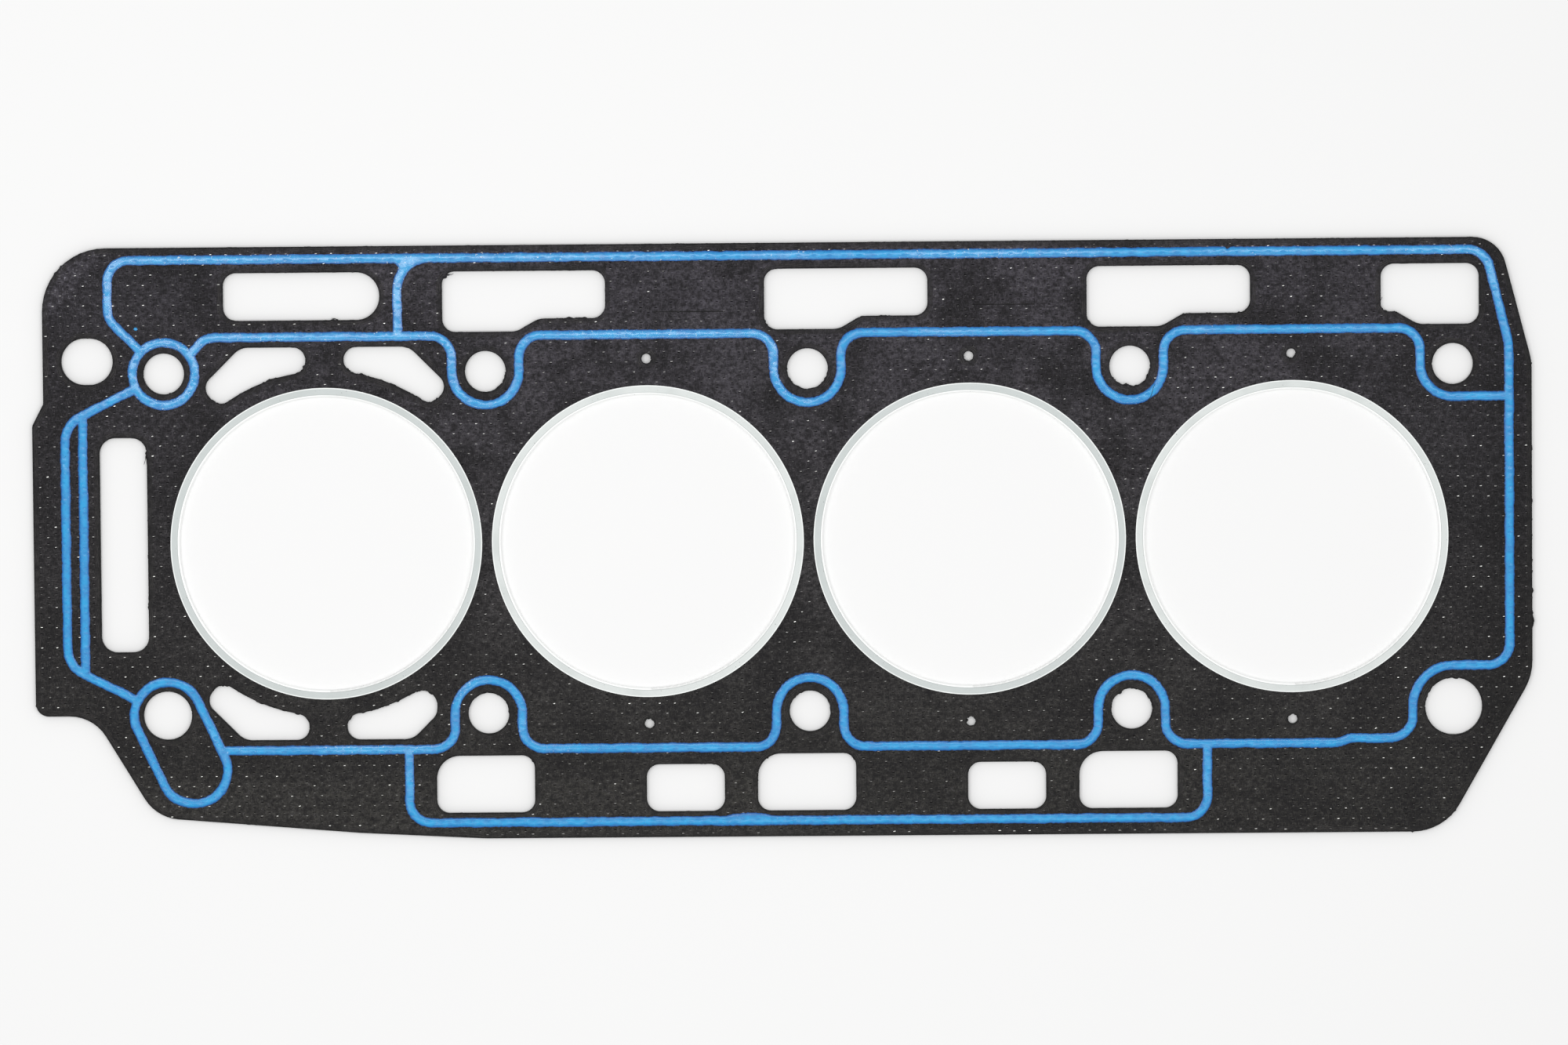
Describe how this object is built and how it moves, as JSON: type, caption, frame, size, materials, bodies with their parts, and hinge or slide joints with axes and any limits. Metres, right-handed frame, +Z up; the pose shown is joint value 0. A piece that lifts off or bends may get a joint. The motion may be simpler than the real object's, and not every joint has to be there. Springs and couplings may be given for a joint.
{
  "type": "cylinder head gasket",
  "caption": "Flat composition cylinder head gasket with steel fire rings round the bores, coolant and oil slots, bolt holes and a raised silicone sealing bead.",
  "frame": {"origin": "centre of the head-bolt pattern and of the row of bores, on the plane that the lower ring flanges rest on", "axes": "+X along the row of bores, away from the timing end; +Y towards the edge with the stepped slots; +Z up, out of the upper face"},
  "size_m": [0.4144, 0.1643, 0.0018],
  "materials": {
    "core_steel": "bare rolled sheet",
    "facing_fibre": "matt black fibre facing with fine fuzz and the tips of the core's tangs",
    "ring_steel": "pale plated sheet",
    "silicone_bead": "glossy blue silicone with a ragged edge"
  },
  "bodies": {
    "root": {"steel_core": "core_steel", "facing_top": "facing_fibre", "facing_bottom": "facing_fibre", "fire_ring_1": "ring_steel", "fire_ring_2": "ring_steel", "fire_ring_3": "ring_steel", "fire_ring_4": "ring_steel", "bead_top": "silicone_bead", "bead_bottom": "silicone_bead"}
  },
  "joints": []
}
